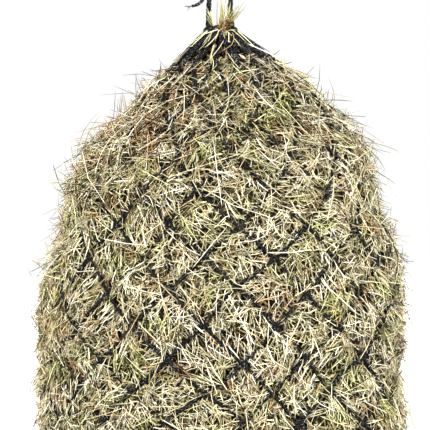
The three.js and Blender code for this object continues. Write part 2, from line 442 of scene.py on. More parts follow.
def node_adder(tree):
    """A function that adds a node, with its inputs set or linked."""

    def add(kind, inputs=None, **settings):
        node = tree.nodes.new(kind)
        for key, value in settings.items():
            setattr(node, key, value)
        for key, value in (inputs or {}).items():
            if isinstance(value, bpy.types.NodeSocket):
                tree.links.new(value, node.inputs[key])
            else:
                node.inputs[key].default_value = value
        return node

    return add


def material(name):
    """A new node material: its nodes' adder, its shader and its links' adder."""
    mat = bpy.data.materials.new(name)
    mat.use_nodes = True
    tree = mat.node_tree
    return mat, node_adder(tree), tree.nodes["Principled BSDF"], tree.links.new


def colour_ramp(add, factor, stops):
    node = add("ShaderNodeValToRGB", {"Fac": factor})
    elements = node.color_ramp.elements
    while len(elements) < len(stops):
        elements.new(0.5)
    for element, (position, colour) in zip(elements, stops):
        element.position = position
        element.color = (*colour, 1)
    return node.outputs["Color"]


def mixed(add, kind, factor, a, b):
    node = add("ShaderNodeMix", data_type="RGBA", blend_type=kind)
    for key, value in (("Factor", factor), ("A", a), ("B", b)):
        socket = next(s for s in node.inputs if s.name == key and s.enabled)
        if isinstance(value, bpy.types.NodeSocket):
            socket.id_data.links.new(value, socket)
        else:
            socket.default_value = value
    return next(s for s in node.outputs if s.enabled)


def remapped(add, value, come_from=(0, 1), go_to=(0, 1)):
    """value moved from one range to another, and held inside it."""
    ends = {"From Min": come_from[0], "From Max": come_from[1], "To Min": go_to[0], "To Max": go_to[1]}
    return add("ShaderNodeMapRange", {"Value": value, **ends}).outputs["Result"]


def noise(add, where, scale, detail, roughness=0.5):
    inputs = {"Vector": where, "Scale": scale, "Detail": detail, "Roughness": roughness}
    return add("ShaderNodeTexNoise", inputs).outputs["Fac"]


def hay_material(name, straw, green, brown, deepest):
    """Dry grass: each strand has its own tone and is more or less green or brown; it is mottled along its
    length, and painted shade darkens its colour the further it is sunk into the hay."""
    mat, add, shader, link = material(name)

    def attribute(key):
        return add("ShaderNodeAttribute", attribute_name=key).outputs["Fac"]

    tone = attribute("tone")
    base = colour_ramp(add, tone, straw)
    for key, colours in (("green", green), ("brown", brown)):
        base = mixed(add, "MIX", attribute(key), base, colour_ramp(add, tone, colours))
    where = add("ShaderNodeTexCoord").outputs["Object"]
    mottle = noise(add, where, 160, 3, 0.7)
    light = remapped(add, mottle, (0.3, 0.7), (0.65, 1.2))
    lit = mixed(add, "MULTIPLY", 1.0, base, light)
    # painted shade: a strand sunk into the hay has its colour mixed towards a dark shade colour
    shaded = mixed(add, "MULTIPLY", attribute("painted_shade"), lit, (*deepest, 1))
    link(shaded, shader.inputs["Base Color"])
    link(remapped(add, mottle, go_to=(0.4, 0.75)), shader.inputs["Roughness"])
    shader.inputs["Specular IOR Level"].default_value = 0.1
    return mat


# The twine's colours: painted shade between the plaits, the plaits' own near black, painted highlights on
# their tops and on fibre flecks, and hay dust.
SHADE_BETWEEN_PLAITS = (0.0006, 0.0006, 0.0008)
ON_PLAITS = (0.004, 0.0042, 0.0048)
HIGHLIGHT_ON_PLAIT_TOPS = (0.046, 0.047, 0.049)
FIBRE_HIGHLIGHTS = (0.27, 0.27, 0.272)
HAY_DUST = (0.19, 0.16, 0.10)


def braided_material(name):
    """Braided polypropylene, fine fibres: painted shade between the plaits, painted grey highlights on
    crests and fibre flecks.
    """
    mat, add, shader, link = material(name)
    height = add("ShaderNodeAttribute", attribute_name="crest").outputs["Fac"]
    where = add("ShaderNodeTexCoord").outputs["Object"]
    fibres = noise(add, where, 340, 5, 0.7)
    dirt = noise(add, where, 45, 4)
    raised = remapped(add, height, (-0.03, 0.09))
    # painted shade in the hollows between the plaits, painted highlights on their tops
    base = colour_ramp(add, raised, [(0.40, SHADE_BETWEEN_PLAITS), (0.80, ON_PLAITS), (1.0, HIGHLIGHT_ON_PLAIT_TOPS)])
    # painted highlights: grey flecks scattered along the fibres
    fibre_glints = remapped(add, fibres, (0.59, 0.66), (0, 0.9))
    glinting = mixed(add, "MIX", fibre_glints, base, (*FIBRE_HIGHLIGHTS, 1))
    dusty = remapped(add, dirt, (0.55, 0.8), (0, 0.08))
    link(mixed(add, "MIX", dusty, glinting, (*HAY_DUST, 1)), shader.inputs["Base Color"])
    link(remapped(add, fibres, go_to=(0.4, 0.75)), shader.inputs["Roughness"])
    bump = add("ShaderNodeBump", {"Height": fibres, "Strength": 0.5, "Distance": 0.6 * MM})
    link(bump.outputs["Normal"], shader.inputs["Normal"])
    shader.inputs["Specular IOR Level"].default_value = 0.05
    return mat


ZINC = [(0, (0.09, 0.093, 0.10)), (1, (0.20, 0.205, 0.215))]
RUST = (0.07, 0.035, 0.018)


def steel_material():
    """Zinc-plated steel: a dull spangle, fine scratches, and a little rust and grime."""
    mat, add, shader, link = material("zinc_plated_steel")
    where = add("ShaderNodeTexCoord").outputs["Object"]
    spangle = add("ShaderNodeTexVoronoi", {"Vector": where, "Scale": 480}, feature="F1")
    grime = noise(add, where, 90, 6)
    stretched = add("ShaderNodeMapping", {"Vector": where, "Scale": (1, 1, 0.08)})
    scratches = noise(add, stretched.outputs["Vector"], 1500, 2)
    zinc = colour_ramp(add, spangle.outputs["Color"], ZINC)
    rusty = remapped(add, grime, (0.6, 0.75), (0, 0.7))
    link(mixed(add, "MIX", rusty, zinc, (*RUST, 1)), shader.inputs["Base Color"])
    link(remapped(add, grime, go_to=(0.3, 0.65)), shader.inputs["Roughness"])
    bump = add("ShaderNodeBump", {"Height": scratches, "Strength": 0.2, "Distance": 0.3 * MM})
    link(bump.outputs["Normal"], shader.inputs["Normal"])
    shader.inputs["Metallic"].default_value = 1.0
    return mat


STRAW = [
    (0.00, (0.040, 0.027, 0.010)), (0.15, (0.16, 0.115, 0.045)), (0.35, (0.36, 0.295, 0.133)),
    (0.60, (0.66, 0.597, 0.37)), (0.85, (0.86, 0.81, 0.60)), (1.00, (0.92, 0.89, 0.76)),
]
GREEN = [
    (0.00, (0.022, 0.026, 0.006)), (0.25, (0.12, 0.13, 0.035)), (0.60, (0.44, 0.45, 0.15)),
    (1.00, (0.86, 0.88, 0.42)),
]
BROWN = [
    (0.00, (0.035, 0.015, 0.005)), (0.30, (0.19, 0.085, 0.028)), (0.65, (0.50, 0.28, 0.115)),
    (1.00, (0.80, 0.58, 0.34)),
]
# painted shade: the hay under the strands is coloured near black
PAINTED_SHADE_BED = [(0, (0.003, 0.0019, 0.0008)), (1, (0.018, 0.0117, 0.0043))]
DEEP_SHADE_COLOUR = (0.016, 0.011, 0.005)  # painted shade: what is left of a strand's colour where it lies deepest
hay_look = hay_material("hay", STRAW, GREEN, BROWN, DEEP_SHADE_COLOUR)
bed_look = hay_material("hay_bed", PAINTED_SHADE_BED, PAINTED_SHADE_BED, PAINTED_SHADE_BED, (1, 1, 1))
twine_look = braided_material("net_twine")
cord_look = braided_material("draw_cord")
steel_look = steel_material()


def finish_piece(obj, look, body, slot, *nodes):
    """Gives a piece its material and its body, and hides the CAD nodes that it stands for. slot is not
    used.
    """
    obj.data.materials.append(look)
    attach(obj, body)
    if nodes:
        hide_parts(*nodes)
    return obj


# ---- Camera, lights and floor ----

FRAME_WIDTH = 688 * MM  # what the picture takes in, at the net's axis
FRAME_TOP = NECK_Z + 52 * MM
CAMERA_X = -9 * MM
CAMERA_DISTANCE = 5.0
SENSOR = 36.0  # the camera's sensor and lens are in millimetres
FLOOR_Z = cad_bounds[0].z - 0.25
FLOOR_REACH = 40


def make_camera():
    data = bpy.data.cameras.new("camera")
    data.sensor_width = SENSOR
    data.lens = SENSOR * CAMERA_DISTANCE / FRAME_WIDTH
    camera = placed("camera", data)
    camera.location = (CAMERA_X, -CAMERA_DISTANCE, FRAME_TOP - FRAME_WIDTH / 2)
    camera.rotation_euler = (math.pi / 2, 0, 0)
    bpy.context.scene.camera = camera


def make_sun(name, strength, spread, azimuth, elevation):
    """A distant lamp. In degrees: spread is its width, and azimuth how far it is turned from the front."""
    data = bpy.data.lights.new(name, "SUN")
    data.energy = strength
    data.angle = math.radians(spread)
    sun = placed(name, data)
    sun.rotation_euler = (math.radians(90 - elevation), 0, math.radians(azimuth))


def make_studio():
    world = bpy.data.worlds.new("studio")
    world.use_nodes = True
    tree = world.node_tree
    add = node_adder(tree)
    direction = add("ShaderNodeTexCoord").outputs["Generated"]
    up = add("ShaderNodeSeparateXYZ", {"Vector": direction}).outputs["Z"]
    wall_to_ceiling = colour_ramp(add, up, [(0.16, (1, 1, 1)), (0.40, (0.30, 0.30, 0.31))])
    tree.links.new(wall_to_ceiling, tree.nodes["Background"].inputs["Color"])
    bpy.context.scene.world = world
    bpy.context.scene.view_settings.view_transform = "Standard"
    make_sun("key_light", 7.0, 3, -27, 35)
    make_sun("fill_light", 4.8, 5, 50, 28)
    make_sun("back_light", 3.0, 6, 178, 40)


def make_floor():
    ways = ((-1, -1), (1, -1), (1, 1), (-1, 1))
    corners = np.array([[x * FLOOR_REACH, y * FLOOR_REACH, FLOOR_Z] for x, y in ways])
    floor = mesh_object("floor", corners, np.array([[0, 1, 2, 3]]), NO_TRIS)
    mat, add, shader, link = material("pale_floor")
    patches = add("ShaderNodeTexNoise", {"Scale": 3, "Detail": 4}).outputs["Fac"]
    pale = colour_ramp(add, patches, [(0, (0.86, 0.86, 0.85)), (1, (0.9, 0.9, 0.89))])
    link(pale, shader.inputs["Base Color"])
    shader.inputs["Roughness"].default_value = 0.9
    floor.data.materials.append(mat)


make_camera()
make_studio()
make_floor()

# ---- The draw cord ----

cord_braid = braid(4, 10 * MM, 0.2)
CORD_SIDES = 28
EYE_TURN = 48  # steps round an eye
EYE_STATIONS = 200
KNOT_STATIONS = 220
TAIL_STATIONS = 60
STRAND_STATIONS = 130
LOOP_STATIONS = 220
THREADS = 14  # in the frayed end of a tail
FRONT = np.array([0, -1, 0])


def smooth_path(points, count):
    """count points on a smooth curve through points, evenly spaced by the points' own order."""
    points = np.asarray(points, float)
    t = np.linspace(0, len(points) - 1, count)
    return np.stack([cubic(points[:, k], t)[0] for k in range(points.shape[1])], 1)


def level_circle(radius, height, count):
    """The angles and the points of a level circle round the net's axis."""
    turn = np.linspace(0, 2 * math.pi, count, endpoint=False)
    return turn, np.stack([np.cos(turn) * radius, np.sin(turn) * radius, 0 * turn + height], 1)


def trefoil(count, turn):
    """The closed form of the overhand knot, 6 wide, lying across its third axis."""
    s = np.linspace(0, 2 * math.pi, count, endpoint=False)
    ring = 2 + np.cos(3 * s)
    return np.stack([ring * np.cos(2 * s + turn), ring * np.sin(2 * s + turn), np.sin(3 * s)], 1)


def overhand_knot(centre, size, thickness, turn):
    """A knot of the cord. size is its half width and half height."""
    local = trefoil(KNOT_STATIONS, turn)[:, [0, 2, 1]] / 3
    path = np.asarray(centre) + local * (size[0] - thickness, size[0] * 0.75, size[1] - thickness)
    return tube(path, thickness, unit(path - centre), CORD_SIDES, closed=True, relief=cord_braid)


def cord_tail(side):
    """The knot's cut end, bent out and frayed."""
    start = np.array([side * (STRAND_X + 3 * MM), 0, knot_low.z + 5 * MM])
    if side < 0:
        bends = [(0, 0, 0), (-5, -3, -8), (-10, -5, -18), (-18, -6, -24), (-26, -6, -26)]
    else:
        bends = [(0, 0, 0), (6, 4, -2), (12, 8, -3), (17, 12, -3), (22, 15, -2)]
    path = start + smooth_path(np.array(bends) * MM, TAIL_STATIONS)
    parts = [tube(path, np.linspace(3.0, 2.2, TAIL_STATIONS) * MM, FRONT, CORD_SIDES, relief=cord_braid)]
    rng = np.random.default_rng(5)
    end = path[-1]
    heading = unit(end - path[-10])
    for _ in range(THREADS):
        spread = rng.normal(0, 0.45, 3)
        reach = rng.uniform(4, 9) * MM
        thread = [end - heading * MM, end + heading * reach / 2, end + (heading + spread) * reach]
        parts.append(tube(smooth_path(thread, 6), np.linspace(0.5, 0.2, 6) * MM, FRONT, 4))
    return parts


def make_draw_cord(side):
    word = "left" if side < 0 else "right"
    x = side * STRAND_X
    eye_radius = (eye_high.z - eye_low.z) / 2 - CORD_RADIUS

    turn = np.linspace(math.radians(-70), math.radians(250), EYE_TURN)
    circle = [np.full(EYE_TURN, x), np.cos(turn) * eye_radius, BAR_Z + np.sin(turn) * eye_radius]
    root = np.array([x, 0, knot_high.z - 4 * MM])
    path = np.vstack([root, np.stack(circle, 1), root])
    path[0, 1] += 1.5 * MM
    path[-1, 1] -= 1.5 * MM
    path = smooth_path(path[[0, 1, *range(6, EYE_TURN + 1, 6), EYE_TURN + 1]], EYE_STATIONS)
    eye_tube = tube(path, CORD_RADIUS, (1, 0, 0), CORD_SIDES, relief=cord_braid)
    eye = joined(f"braided_eye_{word}", [eye_tube])
    finish_piece(eye, cord_look, "draw_cord", "draw_cord", f"draw_cord_{word}_eye")

    centre = np.array([x, 0, (knot_low.z + knot_high.z) / 2])
    half = ((knot_high.x - knot_low.x) / 2 + MM, (knot_high.z - knot_low.z) / 2 + 0.5 * MM)
    parts = [overhand_knot(centre, half, CORD_RADIUS * 0.92, turn=0.6 * side)]
    knot = joined(f"braided_knot_{word}", parts + cord_tail(side))
    finish_piece(knot, cord_look, "draw_cord", "draw_cord", f"draw_cord_{word}_knot")

    top, bottom = strand_top + 1.5 * MM, NECK_Z + 2 * MM
    height = np.linspace(top, bottom, STRAND_STATIONS)
    share = (top - height) / (top - bottom)
    path = np.stack([x - 1.8 * MM * np.sin(math.pi * share), 0 * height, height], 1)
    radius = np.interp(share, [0, 0.5, 0.85, 1], [3.8 * MM, 4.0 * MM, 5.6 * MM, 6.2 * MM])
    strand = joined(f"braided_strand_{word}", [tube(path, radius, FRONT, CORD_SIDES, relief=cord_braid)])
    strand.data.materials.append(cord_look)
    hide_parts(f"draw_cord_{word}_strand")
    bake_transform(strand)


def make_neck_loop():
    _, path = level_circle(LOOP_RADIUS, NECK_Z, LOOP_STATIONS)
    loop = joined("braided_neck_loop", [tube(path, CORD_RADIUS, (0, 0, 1), CORD_SIDES, True, cord_braid)])
    finish_piece(loop, cord_look, "net", "draw_cord", "draw_cord_neck_loop")


for cord_side in (-1, 1):
    make_draw_cord(cord_side)
make_neck_loop()

# ---- The netting ----

twine_braid = braid(3, 8 * MM, 0.24)
LEG_STATIONS = 36
TIP_STATIONS = 22
KNOT_SIZE = np.array([1.65, 1.6, 1.5]) * MM
KNOT_TWINE = 2.4 * MM  # a knot's twine is pulled tight, and thinner
NECK_BUNCH = 42 * MM  # how far down the crowded twine of the neck looks thicker


def knot_tube(p, t, seed):
    """A netting knot at p, t: a tight trefoil of twine lying on the hay."""
    rng = np.random.default_rng(seed)
    local = trefoil(2 * TIP_STATIONS, rng.uniform(0, 2 * math.pi))
    local *= KNOT_SIZE * rng.uniform(0.92, 1.12)
    here = np.array([p], float), np.array([t], float)
    centre = on_net(*here, np.array([1.2 * MM]))[0]
    _, out, around, down = (a[0] for a in surface_frame(*here))
    path = centre + local @ np.stack([around, down, out])
    return tube(path, KNOT_TWINE, out, 8, closed=True, relief=twine_braid)


def wrapped_tip(angle, radius, height, wire, width, first, last):
    """Twine that comes up to a ring of wire, goes round it from angle first to last, and comes back."""
    turn = np.radians(np.linspace(first, last, TIP_STATIONS))
    reach = wire + TWINE_RADIUS
    r = radius + np.cos(turn) * reach
    z = height + np.sin(turn) * reach
    sideways = np.linspace(-width, width, TIP_STATIONS) / radius
    return np.stack([r * np.sin(angle + sideways), -r * np.cos(angle + sideways), z], 1)


# What the tips of the first and last half rows go round: see wrapped_tip.
WRAPS = {
    1: (LOOP_RADIUS, NECK_Z, CORD_RADIUS, 2.4 * MM, -15, 285),
    ROWS: (RING_RADIUS, RING_Z, RING_WIRE, 2.8 * MM, 60, -250),
}


def row_path(row):
    """The twine of one half row, once round the net, with a hint for which way is out."""
    rng = np.random.default_rng(100 + row)
    share = np.linspace(0, 1, LEG_STATIONS + 1)
    swing = np.sin(math.pi * share)
    points, hints = [], []
    for leg in range(HALF_MESHES):
        goes_down = leg % 2 == 0
        p0 = row - 1 + leg
        t0, t1 = (row - 1, row) if goes_down else (row, row - 1)
        p, t = p0 + share, t0 + (t1 - t0) * share
        bow = rng.normal(0, 0.025, 2)
        p = p + swing * bow[0] + 0.012 * np.sin(2 * math.pi * (share + rng.uniform()))
        t = t + swing * bow[1]
        h = rng.normal(0.3, 0.8) * MM * swing + 0.5 * MM * np.sin(3 * math.pi * share + rng.uniform(0, 6))
        leg_points = on_net(p, t, h)
        _, out, _, _ = surface_frame(p, t)
        meets_ring = row in WRAPS and goes_down == (row == ROWS)
        leaves_ring = row in WRAPS and not meets_ring
        keep = slice(3 if leaves_ring else 0, LEG_STATIONS - 2 if meets_ring else LEG_STATIONS)
        points.append(leg_points[keep])
        hints.append(out[keep])
        if meets_ring:
            tip = wrapped_tip(FIRST_TIP_ANGLE + (p0 + 1) * HALF_PITCH, *WRAPS[row])
            points.append(tip)
            hints.append(unit(tip - tip.mean(0)))
    return np.vstack(points), np.vstack(hints)


def make_netting():
    for row in range(1, ROWS + 1):
        path, hints = row_path(row)
        radius = TWINE_RADIUS * (0.94 + 0.32 * np.exp(-((NECK_Z - path[:, 2]) / NECK_BUNCH) ** 2))
        parts = [tube(path, radius, hints, 12, closed=True, relief=twine_braid)]
        if row > 1:
            parts += [knot_tube(row - 1 + 2 * k, row - 1, 1000 * row + k) for k in range(MESHES_ROUND)]
        node = f"net_row_{row:02d}"
        net_row = joined(f"twine_row_{row:02d}", parts)
        finish_piece(net_row, twine_look, "net", "net_twine", node)


make_netting()

# ---- The hay ----

SECTORS = 16
SIDE_LIMIT = cad_bounds[1].x + 26.5 * MM  # no straw stands out further than this
BOTTOM_LIMIT = cad_bounds[0].z - 24 * MM
OVER_TWINE = 4 * MM  # how much higher a straw lies that crosses the twine
FULL_SHADE_SINK = 4.1 * MM  # a straw sunk this far has the full painted shade
STEMS = np.array([-1, -0.9, 0, 0.9, 1])  # a cut stem: its width runs nearly to its ends
BLADES = np.array([-1, -0.75, -0.25, 0.25, 0.7, 1])

lie = waves(21, 26, 22, 0.9)
clump = waves(22, 30, 30, 1.2)
green_patch = waves(23, 30, 22, 1.0)
brown_patch = waves(24, 36, 30, 1.4)
BROWN_SIDE = 0.3  # how much browner the hay is on its -X side
SHOULDER_BROWN_AND_SHADE = 0.5  # and how much more on that side's shoulder, partly painted shade where the key light falls


def make_hay_bed():
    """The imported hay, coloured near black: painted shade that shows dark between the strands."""
    around, down = HALF_MESHES * 8, ROWS * 9  # how finely it is divided each way
    p = np.arange(around)[None] * (HALF_MESHES / around) * np.ones((down + 1, 1))
    t = np.linspace(0.05, ROWS - 0.02, down + 1)[:, None] * np.ones((1, around))
    rng = np.random.default_rng(31)
    set_in = np.interp(t, [0, 2], [2 * MM, 12 * MM])
    h = hay_height(p, t) - set_in + rng.normal(0, 1.8 * MM, p.shape)
    verts = on_net(p, t, h).reshape(-1, 3)
    quads = ring_quads(down + 1, around)[:, [0, 3, 2, 1]]
    top, bottom, last = len(verts), len(verts) + 1, down * around
    ring = np.arange(around)
    after = (ring + 1) % around
    caps = np.vstack([fan(top, ring, after), fan(bottom, last + after, last + ring)])
    on_axis = [edge.mean(0) * (0, 0, 1) for edge in (verts[:around], verts[-around:])]
    verts = np.vstack([verts, *on_axis])
    blank = np.zeros(len(verts))
    values = {"tone": rng.uniform(0, 1, len(verts)), "painted_shade": blank + 0.4, "green": blank, "brown": blank}
    bed = mesh_object("hay_bed", verts, quads, caps, values)
    finish_piece(bed, bed_look, "net", "hay", "hay_fill")


def area_places(rng, count, t_low, t_high):
    """count places spread evenly over the net's surface between two rows."""
    t = np.linspace(t_low, t_high, 400)
    around, down = step_sizes(t)
    weight = np.cumsum(around * down)
    weight = (weight - weight[0]) / (weight[-1] - weight[0])
    return rng.uniform(0, HALF_MESHES, count), np.interp(rng.uniform(0, 1, count), weight, t)


def mesh_reach(p, t, go_p, go_t):
    """How far from p, t it is to the edge of that mesh, going go_p and go_t a metre."""
    nearest = np.full(len(p), np.inf)
    for place, go in (((p - t) / 2, (go_p - go_t) / 2), ((p + t) / 2, (go_p + go_t) / 2)):
        edge = np.where(go > 0, np.floor(place) + 1, np.floor(place))
        nearest = np.minimum(nearest, (edge - place) / np.where(np.abs(go) < 1e-9, 1e-9, go))
    return np.abs(nearest)


def lay_strands(rng, kind, p, t, heading, length, depth, tilt):
    """Stations of strands lying on the hay, which way is out there, and each one's real length.

    A strand is nearly straight. It rests on what is under it, sinks in by its depth, and tilt lifts one
    end. It ends under the twine round its own mesh, unless it is one of those that lie over the twine.
    """
    s = kind["stations"][None]
    count = len(p)
    around, down = step_sizes(t)
    around = np.maximum(around, 5 * MM)
    cos, sin = np.cos(heading), np.sin(heading)
    over = rng.uniform(0, 1, count) < kind["over_twine"] * np.interp(t, [3, 6], [2, 1])
    ends = []
    for way in (-1, 1):
        room = mesh_reach(p, t, way * sin / around, way * cos / down) + rng.uniform(-2 * MM, 3 * MM, count)
        ends.append(np.where(over, length / 2, np.clip(room, 0, length / 2))[:, None])
    reach = np.where(s < 0, ends[0], ends[1]) * s
    length = ends[0] + ends[1]
    bend = rng.normal(0, kind["bend"], count)[:, None] * length
    wobble = rng.normal(0, kind["wobble"], (count, s.size)) * length
    aside = bend * (s * s - 0.4) + wobble
    cos, sin, around, down = (a[:, None] for a in (cos, sin, around, down))
    p_here = p[:, None] + (reach * sin - aside * cos) / around
    t_here = np.clip(t[:, None] + (reach * cos + aside * sin) / down, 0.02, ROWS - 0.01)
    hugging = hay_height(p_here, t_here)
    chord = hugging[:, :1] + (hugging[:, -1:] - hugging[:, :1]) * (s + 1) / 2
    rest = (hugging - chord).max(1, keepdims=True) * rng.uniform(*kind["rest"], (count, 1))
    rest = np.where(over[:, None], rest + OVER_TWINE, rest)
    follow = np.where(over[:, None], 0, rng.uniform(*kind["follow"], (count, 1)))
    lift = np.tan(tilt)[:, None] * (reach + ends[0])
    sag = kind["droop"] * lift * np.abs(s + 1) / 2
    h = follow * hugging + (1 - follow) * (chord + rest) + depth[:, None] + lift - sag
    points = on_net(p_here, t_here, h)
    return points, surface_frame(p_here, t_here)[1], length[:, 0]


def strand_set(rng, count, kind):
    """One kind of strand all over its part of the net: shapes, colour values and each one's sector."""
    p, t = area_places(rng, count, *kind["rows"])
    heading = rng.normal(0, kind["spread"], count)
    if not kind["down"]:
        heading += (1.7 * lie(p, t) + 0.3 * rng.integers(-2, 3, count)) * np.interp(t, [0.7, 3.5], [0.3, 1])
    length = np.clip(rng.lognormal(math.log(kind["length"]), kind["vary"], count), *kind["limits"])
    length *= 1 if kind["down"] else np.interp(t, [0, 2, 4, 15, 19], [0.5, 0.75, 1, 1, 0.6])
    sunk = kind["deepest"] * rng.uniform(0, 1, count) ** 2.2
    depth = kind["top"] - sunk + 2.0 * MM * clump(p, t)
    tilt = rng.uniform(*kind["tilt"], count)
    paths, out, length = lay_strands(rng, kind, p, t, heading, length, depth, tilt)

    half = rng.uniform(*kind["half_width"], count)
    tip = kind["tip"]
    taper = np.interp(kind["stations"], [-1, -0.85, 0.3, 0.85, 1], [0.6, 1.0, 0.95, tip, tip])
    half_width = half[:, None] * taper
    roll = rng.normal(0, kind["roll"], count)
    side = np.cross(unit(paths[:, -1] - paths[:, 0]), out[:, 0])
    hints = out * np.cos(roll)[:, None, None] + side[:, None] * np.sin(roll)[:, None, None]

    # painted shade near the neck: straws there get darker colours, and are browner too
    neck_shade_and_brown = np.interp(t, [1, 4.8], [0.38, 0])
    # painted shade: the further a straw is sunk, the darker its colour
    painted_shade = np.clip(sunk / FULL_SHADE_SINK, 0, 1)
    painted_shade = painted_shade * painted_shade * (3 - 2 * painted_shade)
    painted_shade = np.clip(painted_shade + neck_shade_and_brown * rng.uniform(0, 1, count), 0, 1)
    # painted light and shade: straws near the top get paler tones, sunk ones darker
    tone = rng.normal(kind["tone"], 0.26, count) + 0.05 * clump(p, t) + 0.15 * (0.45 - painted_shade)
    green = 0.9 * green_patch(p, t) + rng.normal(-0.15, 0.55, count)
    left = np.clip(-np.sin(FIRST_TIP_ANGLE + p * HALF_PITCH), 0, 1)
    shoulder = np.interp(t, [1, 2, 4, 5.5], [0, 1, 1, 0])
    # brown hay on the -X side; on its shoulder the darker brown is partly painted shade where the key light
    # falls
    brown_and_shade = left * (BROWN_SIDE * left + SHOULDER_BROWN_AND_SHADE * shoulder)
    brown = 0.9 * brown_patch(p, t) + neck_shade_and_brown + brown_and_shade + rng.normal(-0.52, 0.62, count)
    tone, green, brown = (np.clip(value, 0, 1) for value in (tone, green, brown))
    keep = np.linalg.norm(paths[..., :2], axis=-1).max(1) < SIDE_LIMIT
    keep &= length > kind["shortest"]
    keep &= paths[..., 2].min(1) > BOTTOM_LIMIT
    sector = ((p % HALF_MESHES) / HALF_MESHES * SECTORS).astype(int)
    shapes = [a[keep] for a in (paths, hints, half_width, half_width * kind["flat"])]
    values = {"tone": tone[keep], "green": green[keep], "brown": brown[keep], "painted_shade": painted_shade[keep]}
    return shapes, values, sector[keep]


IN_MM = ("length", "limits", "half_width", "top", "deepest", "shortest")


def hay_kind(count, length, half_width, **changes):
    """How many strands of a kind there are, and how they differ from an ordinary fine stem.

    Sizes are in mm. stations: its points along it. vary, limits: spread and range of the lengths.
    shortest: one that the twine cuts shorter is left out. flat: thickness to width. tip: its width to the
    rest. top: height of the highest. deepest: how far the others sink below it. rest, follow: how much
    what is under it holds it up, and bends it. tilt: angles that lift one end. droop: how far that end
    falls back. bend, wobble: shares of the length. roll: turn about itself. spread: of the headings.
    down: heads down the net. tone: how pale. rows: where on the net. over_twine: share that crosses it.
    """
    kind = {
        "stations": STEMS, "length": length, "vary": 0.38, "half_width": half_width, "tip": 0.7,
        "flat": 0.85, "top": 1.5, "deepest": 12, "rest": (0.2, 1.0), "follow": (0.1, 0.5),
        "tilt": (-0.22, 0.38), "droop": 0.0, "bend": 0.035, "wobble": 0.004, "roll": 1.5, "spread": 0.55,
        "down": False, "tone": 0.62, "rows": (0.9, ROWS - 0.05), "over_twine": 0.0, "shortest": 9,
        "limits": (length * 0.4, length * 2.2),
    }
    assert not set(changes) - set(kind), changes
    kind.update(changes)
    for key in IN_MM:
        value = kind[key]
        kind[key] = tuple(v * MM for v in value) if isinstance(value, tuple) else value * MM
    return count, kind


STEM = hay_kind(68000, 21, (0.36, 0.80), over_twine=0.05, shortest=6)
PRICKLE = hay_kind(
    15000, 15, (0.34, 0.70), top=0.5, deepest=7, tilt=(0.3, 1.0), follow=(0, 0.2), spread=1.6, tone=0.55,
    over_twine=0.12, shortest=5,
)
BLADE = hay_kind(
    15000, 20, (0.8, 1.7), stations=BLADES, tip=0.4, flat=0.15, bend=0.06, wobble=0.012, roll=0.6,
    tone=0.45, over_twine=0.04,
)
STALK = hay_kind(
    4400, 36, (0.48, 0.90), vary=0.6, limits=(14, 125), top=2.5, deepest=5, rest=(0.7, 1.1),
    follow=(0, 0.15), bend=0.03, spread=0.75, tone=0.64, flat=1.0, over_twine=0.3,
)
CHAFF = hay_kind(
    9000, 10, (0.5, 1.2), top=2.5, deepest=7, spread=1.5, flat=0.3, tilt=(-0.3, 0.5), tone=0.5,
    over_twine=0.25, shortest=4,
)
SEED_HEAD = hay_kind(
    420, 22, (1.3, 2.0), stations=BLADES, top=2.5, deepest=3, rest=(0.9, 1.3), tip=0.35, flat=0.8,
    tone=0.36, over_twine=0.2,
)
FRINGE = hay_kind(
    5600, 22, (0.4, 0.8), vary=0.48, top=2, deepest=6, rest=(0.8, 1.2), follow=(0, 0.1), tilt=(0.15, 0.8),
    bend=0.05, spread=1.6, tone=0.35, over_twine=0.3,
)
WISP = hay_kind(
    820, 44, (0.35, 0.7), stations=BLADES, vary=0.5, top=3, deepest=6, rest=(0.8, 1.2), follow=(0, 0.1),
    tilt=(0.2, 0.85), droop=0.3, bend=0.13, wobble=0.02, spread=2.4, tone=0.25, tip=0.4, over_twine=1.0,
    rows=(1.6, ROWS - 0.05),
)
NECK_LEAF = hay_kind(
    1500, 15, (0.5, 1.3), stations=BLADES, tip=0.5, flat=0.25, top=-0.5, deepest=4, tilt=(-0.1, 0.25),
    down=True, spread=0.7, tone=0.38, rows=(0.3, 1.7), shortest=3,
)
SHOULDER = hay_kind(
    620, 42, (0.45, 0.85), stations=BLADES, top=4, deepest=5, rest=(0.8, 1.2), follow=(0, 0.2),
    tilt=(-0.05, 0.2), bend=0.05, spread=0.75, down=True, tone=0.62, rows=(1.4, 4.2), over_twine=0.35,
)
OVER_NECK = hay_kind(
    150, 46, (0.5, 0.95), stations=BLADES, top=7, deepest=5, rest=(0.9, 1.2), follow=(0, 0.2),
    tilt=(-0.03, 0.06), bend=0.05, spread=0.45, down=True, tone=0.85, rows=(0.5, 2.2), over_twine=1.0,
)
SPIKE = hay_kind(
    620, 30, (0.35, 0.7), stations=BLADES, vary=0.5, top=3, deepest=6, rest=(0.8, 1.2), follow=(0, 0.1),
    tilt=(0.25, 0.8), bend=0.06, spread=2.4, tone=0.38, tip=0.4, over_twine=1.0, rows=(1.3, 5.2),
)
HAY = [STEM, PRICKLE, BLADE, STALK, CHAFF, SEED_HEAD, FRINGE, WISP, NECK_LEAF, SHOULDER, OVER_NECK, SPIKE]


def make_hay():
    rng = np.random.default_rng(41)
    bundles = [[] for _ in range(SECTORS)]
    for count, kind in HAY:
        shapes, values, sectors = strand_set(rng, count, kind)
        for sector, bundle in enumerate(bundles):
            here = sectors == sector
            tones = {key: value[here] for key, value in values.items()}
            bundle.append(strand_arrays(*(a[here] for a in shapes), tones, kind["stations"]))
    for sector, bundle in enumerate(bundles):
        strands = strand_object(f"hay_bundle_{sector + 1:02d}", bundle)
        finish_piece(strands, hay_look, "net", "hay")


